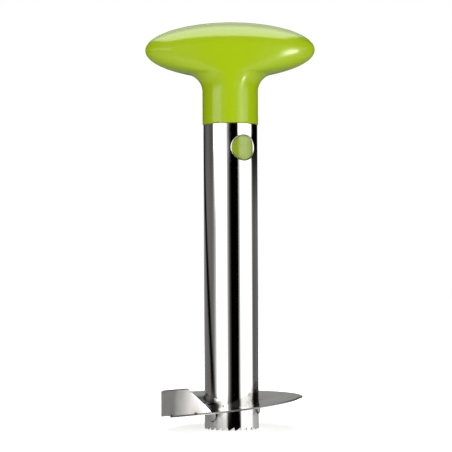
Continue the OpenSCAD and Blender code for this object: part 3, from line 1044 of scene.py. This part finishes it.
def side_form(blade, side):
    """The side blade, as sections along its travel, with a ground upper edge."""
    form = Form()
    knee = side.back - side.tail
    travels = between(-side.ahead, knee, STRIP_SECTIONS)[:-1] + between(knee, side.back, TAIL_SECTIONS)
    inner = side.radius - side.thickness
    honed = inner + blade.edge_thickness
    sections = []
    for travel in travels:
        low, high = side_foot(blade, side, travel), side_head(blade, side, travel)
        shoulder = high - min(side.bevel, BEVEL_SHARE * (high - low))
        outline = [
            (inner, low), (side.radius, low), (side.radius, (low + shoulder) / 2), (side.radius, shoulder),
            (honed, high), (inner, high), (inner, (low + shoulder) / 2),
        ]
        sections.append(form.section(outline, blade.lead_angle + travel))
    # Of the seven faces of a section the bevel and the land on top of it are ground
    form.skin(sections, finish=[0, 0, 0, 1, 1, 0, 0])
    form.caps(sections)
    return form


class CORER_OT_side_blade(bpy.types.Operator):
    """Build the upright side blade"""

    bl_idname = "corer.side_blade"
    bl_label = "Side blade"

    def execute(self, context):
        blade, side = context.scene.corer_blade, context.scene.corer_side_blade
        finishes = [
            tumbled_steel_sheet("Stainless sheet, tumbled strip", "#CBC9C6", 0.35, tack_places(blade, side)),
            ground_steel_edge("Stainless, ground strip edge"),
        ]
        shown = piece(side_form(blade, side), "side_strip", finishes, crease=25.0)
        carry(shown, "core", "polished_steel", "side_blade")
        return {"FINISHED"}


# Welds

# Fineness of a bead's mesh, the share of its size that its lumps take, and how close these lie
BEAD_FINENESS, BEAD_ROUGH, BEAD_LUMPS = 3, 0.16, 2.2
# Half depth of a bead under a tab, how far it stands out, and its half height as a share of its half width
TAB_BEAD = (0.7 * MM, 0.1 * MM, 0.6)
# The same of a tack, which lies further in
TACK = (0.55 * MM, -0.1 * MM, 0.7)
# Travel of the ragged seam that holds the end of the disc on the tube, and the number of beads in it
SEAM = (math.radians(290), math.radians(332))
SEAM_BEADS = 9
# Half sizes of its beads, how far they stand out, and how far they lie under the sheet's upper face, as a
# share of its thickness
SEAM_SIZE = (1.1 * MM, 0.6 * MM, 1.2 * MM)
SEAM_OUT, SEAM_SUNK = 0.4 * MM, 0.3
# How much their sizes differ, how fast that changes along the seam, and the seed of the first
SEAM_SWELL, SEAM_PACE, SEAM_SEED = 0.45, 1.7, 10


def bead(lumps, place, angle, size, seed):
    """Adds a lumpy bead of weld at a place: half sizes along the seam, outwards at an angle and up."""
    outward = Vector(polar(1.0, angle, 0.0))
    along = Vector((-outward.y, outward.x, 0.0))
    made = bmesh.ops.create_icosphere(lumps, subdivisions=BEAD_FINENESS, radius=1.0)
    for vertex in made["verts"]:
        rough = 1.0 + BEAD_ROUGH * noise.noise(vertex.co * BEAD_LUMPS + Vector((seed, 0.0, 0.0)))
        spot = vertex.co * rough
        vertex.co = Vector(place) + along * spot.x * size[0] + outward * spot.y * size[1]
        vertex.co.z += spot.z * size[2]


def beads(name, lumps, finish):
    """One piece of several beads."""
    mesh = bpy.data.meshes.new(name)
    lumps.to_mesh(mesh)
    lumps.free()
    mesh.materials.append(finish)
    mesh.shade_smooth()
    return show(name, mesh)


class CORER_OT_welds(bpy.types.Operator):
    """Build the weld beads under the tabs and the tacks at the side blade's foot"""

    bl_idname = "corer.welds"
    bl_label = "Welds"

    def execute(self, context):
        blade, side = context.scene.corer_blade, context.scene.corer_side_blade
        finish = heat_dark_weld("Stainless tack weld")
        radius = context.scene.corer_tube.radius
        lumps = bmesh.new()
        deep, out, flat = TAB_BEAD
        for i, middle in enumerate(tab_middles(blade)):
            angle = blade.lead_angle + middle
            size = (blade.bead_radius, deep, flat * blade.bead_radius)
            bead(lumps, polar(radius + out, angle, tab_foot(blade, middle)), angle, size, i)
        for i, travel in enumerate(between(*SEAM, SEAM_BEADS)):
            angle = blade.lead_angle + travel
            place = polar(radius + SEAM_OUT, angle, hub_top(blade, travel) - SEAM_SUNK * blade.thickness)
            swell = 1.0 + SEAM_SWELL * noise.noise(Vector((SEAM_PACE * i, 0.0, 0.0)))
            bead(lumps, place, angle, [half * swell for half in SEAM_SIZE], i + SEAM_SEED)
        shown = beads("tab_beads", lumps, finish)
        carry(shown, "core", "weld_steel", "blade_welds")
        lumps = bmesh.new()
        deep, out, flat = TACK
        for i, travel in enumerate(tack_travels(side)):
            angle = blade.lead_angle + travel
            size = (side.tack_radius, deep, flat * side.tack_radius)
            place = polar(side.radius + out, angle, rim_top(blade, travel))
            bead(lumps, place, angle, size, i + blade.tab_count)
        shown = beads("foot_tacks", lumps, finish)
        carry(shown, "core", "weld_steel", "side_blade_welds")
        return {"FINISHED"}


# Studio

# The pieces of steel and of lime, which mirror different lights
STEEL = ("tube", "disc_blade", "side_strip", "tab_beads", "foot_tacks")
SHELLS = ("front_half", "rear_half")
LATCHES = ("front_latch", "rear_latch")
LIME = SHELLS + LATCHES
# Brightness of the ring of strip boxes round the tool: degrees from the camera, counted to the right,
# then the brightness at the ring's foot, its middle and its head. Two bright strips stand on both sides
# of a dark gap round the camera, with dim cloth behind and dark corners.
STRIPS = [
    (-180, 0.30, 0.33, 0.33), (-157, 0.30, 0.33, 0.0), (-135, 0.36, 0.24, 0.12), (-112, 0.38, 0.22, 0.20),
    (-92, 0.42, 0.20, 0.12), (-80, 0.50, 0.24, 0.12), (-66, 0.62, 1.00, 3.80), (-54, 0.80, 4.80, 3.80),
    (-24, 1.10, 4.80, 3.80), (-17, 0.15, 1.40, 1.40), (-13, 0.0, 0.70, 0.70), (-4, 0.0, 0.08, 0.08),
    (2, 0.0, 0.0, 0.0), (31, 0.0, 0.0, 0.0), (36, 0.0, 0.90, 0.90), (43, 1.80, 2.30, 2.30),
    (93, 2.00, 2.30, 2.30), (105, 0.75, 0.15, 0.0), (140, 0.60, 0.20, 0.0), (157, 0.40, 0.15, 0.0),
    (180, 0.30, 0.33, 0.33),
]
# Radius of the ring, its points, the heights of its edges and of the fade at its lower end, and the fades
# from foot to middle to head
RING_RADIUS = 1.0
RING_POINTS = 120
RING_EDGES = (-0.3, 0.6)
RING_END = (-0.28, -0.12)
RING_FADES = ((-0.085, -0.05), (0.14, 0.26))
# A dark stand that leans across the ring at the left: its direction and lean per metre at a height,
# and the half widths between which its edge fades
STAND_TURN, STAND_LEAN, STAND_HEIGHT = math.radians(-119), math.radians(-234), 94 * MM
STAND_EDGE = (math.radians(4), math.radians(17))
# Brightness of the two windows of the room that the handle reflects, by compass direction
WINDOWS = [
    (-180, 0.0), (-80, 0.0), (-75, 4.6), (-40, 4.6), (-35, 0.0),
    (30, 0.0), (35, 3.5), (75, 3.5), (80, 0.0), (180, 0.0),
]
# Degrees above the tool between which the lower and the upper end of those windows fade
WINDOW_ENDS = ((4.2, 5.2), (6.8, 8.2))
# And between which the lower end of the dark wall under the windows fades
WALL_END = (-13, -9)
# Brightness of the room over that wall and of the paper under it, before and behind the tool, and the Y of
# the directions between which it changes
ROOM = (0.04, 0.06)
PAPER = (0.60, 0.30)
CHANGE = (-0.5, 0.5)
# Soft boxes: place, target, width and length, brightness, the pieces that they reach or None for all, and
# the kind of light that they don't give, or None
LAMPS = (
    # Three boxes that the handle's upper band mirrors, each fainter than the one before it
    ("overhead_box", (-0.12, -0.2, 1.15), (-0.12, -0.2, 0.0), (1.4, 0.9), 5.0, LIME, "diffuse"),
    ("overhead_edge", (-0.12, 0.38, 1.15), (-0.12, 0.38, 0.0), (1.4, 0.26), 3.0, LIME, "diffuse"),
    ("overhead_end", (-0.12, 1.0, 1.15), (-0.12, 1.0, 0.0), (1.4, 1.0), 1.3, LIME, "diffuse"),
    # A softer light from above for the body of every piece, and a faint one that only the steel mirrors
    ("overhead_fill", (-0.1, 0.19, 1.15), (-0.1, 0.19, 0.0), (1.05, 1.22), 2.8, None, "glossy"),
    ("overhead_sheen", (0.0, 0.2, 1.2), (0.0, 0.2, 0.0), (1.2, 1.2), 0.9, STEEL, None),
    # A small box close by, whose glint only the right tip of the handle mirrors
    ("tip_glint", (0.0959, -0.0762, 0.202), (0.036, -0.012, 0.211), (0.04, 0.05), 0.34, SHELLS, "diffuse"),
    # A box at the upper right that the ground edge of the side blade's tail mirrors
    ("tail_glint", (0.155, -0.237, 0.44), (-0.019, -0.038, 0.015), (0.3, 0.3), 4.0, ("side_strip",),
     "diffuse"),
    # Light from both sides, and from behind for the back of the handle and the rounding of its edges
    ("left_fill", (-0.85, -0.85, 0.05), (0.0, 0.0, 0.2), (1.3, 1.5), 2.0, None, "glossy"),
    ("right_fill", (0.85, -0.85, 0.05), (0.0, 0.0, 0.2), (1.3, 1.5), 2.55, None, "glossy"),
    ("rear_fill", (0.0, 1.2, 0.3), (0.0, 0.0, 0.2), (1.5, 1.2), 2.2, LIME, "glossy"),
)
# The glint at the handle's tip comes through a honeycomb grid, which narrows it
GRID_SPREAD = math.radians(24)
# The sheet of paper: its radius, its points, and how far it lies under the teeth
FLOOR_RADIUS, FLOOR_POINTS, FLOOR_DROP = 4.0, 64, 0.02 * MM
# Nearest distance that the camera shows
NEAR_CLIP = 0.01


def compass_turn(tree, place):
    """The compass direction of a place, from the camera and counted to the right, in radians."""
    ahead = add(tree, "ShaderNodeMath", {0: place.outputs["Y"], 1: -1.0}, operation="MULTIPLY")
    return add(
        tree, "ShaderNodeMath", {0: place.outputs["X"], 1: ahead.outputs["Value"]},
        operation="ARCTAN2").outputs["Value"]


def compass_ramp(tree, turn, stops, brightest):
    """A grey by compass direction, from stops in degrees, as a share of the brightest."""
    share = add(tree, "ShaderNodeMapRange", {"Value": turn, "From Min": -math.pi, "From Max": math.pi})
    ramp = add(tree, "ShaderNodeValToRGB", {"Fac": share.outputs["Result"]})
    elements = ramp.color_ramp.elements
    while len(elements) < len(stops):
        elements.new(1.0)
    for element, (bearing, brightness) in zip(elements, stops):
        element.position = (bearing + 180) / 360
        element.color = (*[brightness / brightest] * 3, 1.0)
    return ramp.outputs["Color"]


def lit_cloth(name):
    """Diffuser cloth of the strip boxes, lit from behind: it glows by direction and height.

    It is drawn clear, so that it hides nothing.
    """
    material, tree, spot = new_finish(name)
    place = add(tree, "ShaderNodeSeparateXYZ", {0: spot})
    turn = compass_turn(tree, place)
    brightest = max(max(row[1:]) for row in STRIPS)
    foot, middle, head = [
        compass_ramp(tree, turn, [(row[0], row[level]) for row in STRIPS], brightest) for level in (1, 2, 3)
    ]
    lean = add(
        tree, "ShaderNodeMath",
        {0: place.outputs["Z"], 1: -STAND_LEAN, 2: STAND_LEAN * STAND_HEIGHT - STAND_TURN},
        operation="MULTIPLY_ADD")
    aside = add(tree, "ShaderNodeMath", {0: turn, 1: lean.outputs["Value"]})
    away = add(tree, "ShaderNodeMath", {0: aside.outputs["Value"]}, operation="ABSOLUTE")
    beside, over_foot, over_middle, over_end = [
        add(
            tree, "ShaderNodeMapRange", {"Value": value, "From Min": start, "From Max": end},
            interpolation_type="SMOOTHSTEP").outputs["Result"]
        for value, (start, end) in (
            (away.outputs["Value"], STAND_EDGE), *[(place.outputs["Z"], ends) for ends in RING_FADES],
            (place.outputs["Z"], RING_END))
    ]
    upper = add(tree, "ShaderNodeMix", {0: over_middle, 6: middle, 7: head}, data_type="RGBA")
    parted = add(
        tree, "ShaderNodeMix", {0: beside, 6: srgb("#000000"), 7: upper.outputs[2]}, data_type="RGBA")
    colour = add(tree, "ShaderNodeMix", {0: over_foot, 6: foot, 7: parted.outputs[2]}, data_type="RGBA")
    strength = add(tree, "ShaderNodeMath", {0: over_end, 1: brightest}, operation="MULTIPLY")
    glow = add(
        tree, "ShaderNodeEmission", {"Color": colour.outputs[2], "Strength": strength.outputs["Value"]})
    clear = add(tree, "ShaderNodeBsdfTransparent")
    both = add(tree, "ShaderNodeAddShader", {0: glow.outputs["Emission"], 1: clear.outputs["BSDF"]})
    add(tree, "ShaderNodeOutputMaterial", {"Surface": both.outputs["Shader"]})
    return material


def shine_on(lamp, names):
    """Lets a light reach only the named pieces."""
    group = bpy.data.collections.new(lamp.name)
    for name in names:
        group.objects.link(bpy.data.objects[name])
    lamp.light_linking.receiver_collection = group


def surroundings():
    """World light: a dim room with a dark wall and two windows round the tool, and a white backdrop.

    Below the wall lies white paper, which the tool mirrors.
    """
    world = bpy.data.worlds.new("Studio")
    world.use_nodes = True
    tree = world.node_tree
    tree.nodes.clear()
    way = add(tree, "ShaderNodeSeparateXYZ", {0: add(tree, "ShaderNodeTexCoord").outputs["Generated"]})
    brightest = max(brightness for _, brightness in WINDOWS)
    colour = compass_ramp(tree, compass_turn(tree, way), WINDOWS, brightest)
    room, paper = [
        add(
            tree, "ShaderNodeMapRange",
            {"Value": way.outputs["Y"], "From Min": CHANGE[0], "From Max": CHANGE[1],
             "To Min": before / brightest, "To Max": behind / brightest}).outputs["Result"]
        for before, behind in (ROOM, PAPER)
    ]
    path = add(tree, "ShaderNodeLightPath")
    rise = add(tree, "ShaderNodeMath", {0: way.outputs["Z"]}, operation="ARCSINE").outputs["Value"]
    sill, lintel, foot, down = [
        add(
            tree, "ShaderNodeMapRange",
            {"Value": rise, "From Min": math.radians(start), "From Max": math.radians(end)},
            interpolation_type="SMOOTHSTEP").outputs["Result"]
        for start, end in (*WINDOW_ENDS, WALL_END, (0, WALL_END[0]))
    ]
    windows = add(tree, "ShaderNodeMix", {0: sill, 6: srgb("#000000"), 7: colour}, data_type="RGBA")
    wall = add(tree, "ShaderNodeMath", {0: foot, 1: lintel}, operation="SUBTRACT")
    # The paper is mirrored by all pieces, but what it throws back on them comes from the side boxes
    under = add(tree, "ShaderNodeMath", {0: down, 1: path.outputs["Is Glossy Ray"]}, operation="MULTIPLY")
    beyond = add(tree, "ShaderNodeMix", {0: under.outputs["Value"], 6: room, 7: paper}, data_type="RGBA")
    light = add(
        tree, "ShaderNodeMix",
        {0: wall.outputs["Value"], 6: beyond.outputs[2], 7: windows.outputs[2]}, data_type="RGBA")
    seen = add(tree, "ShaderNodeBackground", {"Color": light.outputs[2], "Strength": brightest})
    backdrop = add(tree, "ShaderNodeBackground", {"Color": srgb("#FFFFFF"), "Strength": 1.0})
    mixed = add(
        tree, "ShaderNodeMixShader",
        {0: path.outputs["Is Camera Ray"], 1: seen.outputs["Background"], 2: backdrop.outputs["Background"]})
    add(tree, "ShaderNodeOutputWorld", {"Surface": mixed.outputs["Shader"]})
    bpy.context.scene.world = world


def soft_box(name, place, target, size, brightness):
    """A rectangular light of an even brightness that faces a target."""
    data = bpy.data.lights.new(name, "AREA")
    data.shape = "RECTANGLE"
    data.size, data.size_y = size
    data.energy = brightness * math.pi * size[0] * size[1]
    lamp = bpy.data.objects.new(name, data)
    lamp.location = place
    lamp.rotation_euler = (Vector(target) - Vector(place)).to_track_quat("-Z", "Y").to_euler()
    lamp.visible_camera = False
    bpy.context.scene.collection.objects.link(lamp)
    return lamp


class CORER_OT_studio(bpy.types.Operator):
    """Set up the floor, the light and the camera"""

    bl_idname = "corer.studio"
    bl_label = "Studio"

    def execute(self, context):
        studio = context.scene.corer_studio
        surroundings()
        self.ring()
        self.floor(studio)
        for name, place, target, size, brightness, pieces, kept_out in LAMPS:
            lamp = soft_box(name, place, target, size, brightness)
            lamp.visible_diffuse = kept_out != "diffuse"
            lamp.visible_glossy = kept_out != "glossy"
            if pieces:
                shine_on(lamp, pieces)
        bpy.data.lights["tip_glint"].spread = GRID_SPREAD
        # The tube and the disc of the photo mirror no side blade
        bpy.data.objects["side_strip"].visible_glossy = False
        self.camera(context, studio)
        context.scene.view_settings.view_transform = "Standard"
        return {"FINISHED"}

    def ring(self):
        """The ring of strip boxes round the tool, which only its steel and buttons mirror."""
        form = Form()
        turns = whole(RING_POINTS)
        form.skin([form.row([polar(RING_RADIUS, turn, z) for turn in turns]) for z in RING_EDGES])
        cloth = piece(form, "strip_ring", [lit_cloth("Diffuser cloth, lit")])
        cloth.visible_camera = False
        cloth.visible_diffuse = False
        cloth.visible_shadow = False
        shine_on(cloth, STEEL + LATCHES)

    def floor(self, studio):
        """The paper under the tool, for the camera alone: the tool mirrors the world's paper instead."""
        form = Form()
        form.face(form.row([polar(FLOOR_RADIUS, angle, -FLOOR_DROP) for angle in whole(FLOOR_POINTS)]))
        floor = piece(form, "floor", [pale_paper("White paper, matt", studio.floor_colour)])
        floor.visible_glossy = False
        floor.visible_diffuse = False
        floor.visible_shadow = False

    def camera(self, context, studio):
        """The camera of the photograph, fitted to its picture."""
        data = bpy.data.cameras.new("camera")
        data.sensor_width = SENSOR
        data.lens = studio.focal_pixels * SENSOR / IMAGE_SIDE
        data.clip_start = NEAR_CLIP
        pitch = math.atan((studio.horizon - IMAGE_SIDE / 2) / studio.focal_pixels)
        yaw = math.atan((studio.centre_x - IMAGE_SIDE / 2) / studio.focal_pixels)
        aim = Matrix.Rotation(yaw, 4, "Z") @ Matrix.Rotation(math.pi / 2 + pitch, 4, "X")
        camera = bpy.data.objects.new("camera", data)
        camera.matrix_world = (
            Matrix.Translation((0.0, -studio.distance, studio.eye)) @ aim
            @ Matrix.Rotation(-studio.roll, 4, "Z"))
        context.scene.collection.objects.link(camera)
        context.scene.camera = camera


class CORER_PT_sidebar(bpy.types.Panel):
    """The corer's pieces and their sizes"""

    bl_idname = "CORER_PT_sidebar"
    bl_label = "Pineapple corer"
    bl_space_type = "VIEW_3D"
    bl_region_type = "UI"
    bl_category = "Corer"

    def draw(self, context):
        for operator, group in zip(OPERATORS, SECTIONS):
            box = self.layout.box()
            box.operator(operator.bl_idname)
            if group is None:
                continue
            settings = getattr(context.scene, group)
            for name in settings.__annotations__:
                box.prop(settings, name)


GROUPS = {
    "corer_handle": HandleSettings,
    "corer_latch": LatchSettings,
    "corer_tube": TubeSettings,
    "corer_blade": BladeSettings,
    "corer_side_blade": SideBladeSettings,
    "corer_studio": StudioSettings,
}
OPERATORS = (
    CORER_OT_handle, CORER_OT_latch, CORER_OT_tube, CORER_OT_slicing_blade, CORER_OT_side_blade,
    CORER_OT_welds, CORER_OT_studio,
)
# The settings shown under each operator's button; the welds take theirs from the two blades
SECTIONS = (
    "corer_handle", "corer_latch", "corer_tube", "corer_blade", "corer_side_blade", None, "corer_studio",
)
CLASSES = (*GROUPS.values(), *OPERATORS, CORER_PT_sidebar)


def register():
    for kind in CLASSES:
        bpy.utils.register_class(kind)
    for name, group in GROUPS.items():
        setattr(bpy.types.Scene, name, PointerProperty(type=group))


def unregister():
    for name in GROUPS:
        delattr(bpy.types.Scene, name)
    for kind in reversed(CLASSES):
        bpy.utils.unregister_class(kind)


def main():
    register()
    bpy.ops.corer.handle()
    bpy.ops.corer.latch()
    bpy.ops.corer.tube()
    bpy.ops.corer.slicing_blade()
    bpy.ops.corer.side_blade()
    bpy.ops.corer.welds()
    bpy.ops.corer.studio()


if __name__ == "__main__":
    main()
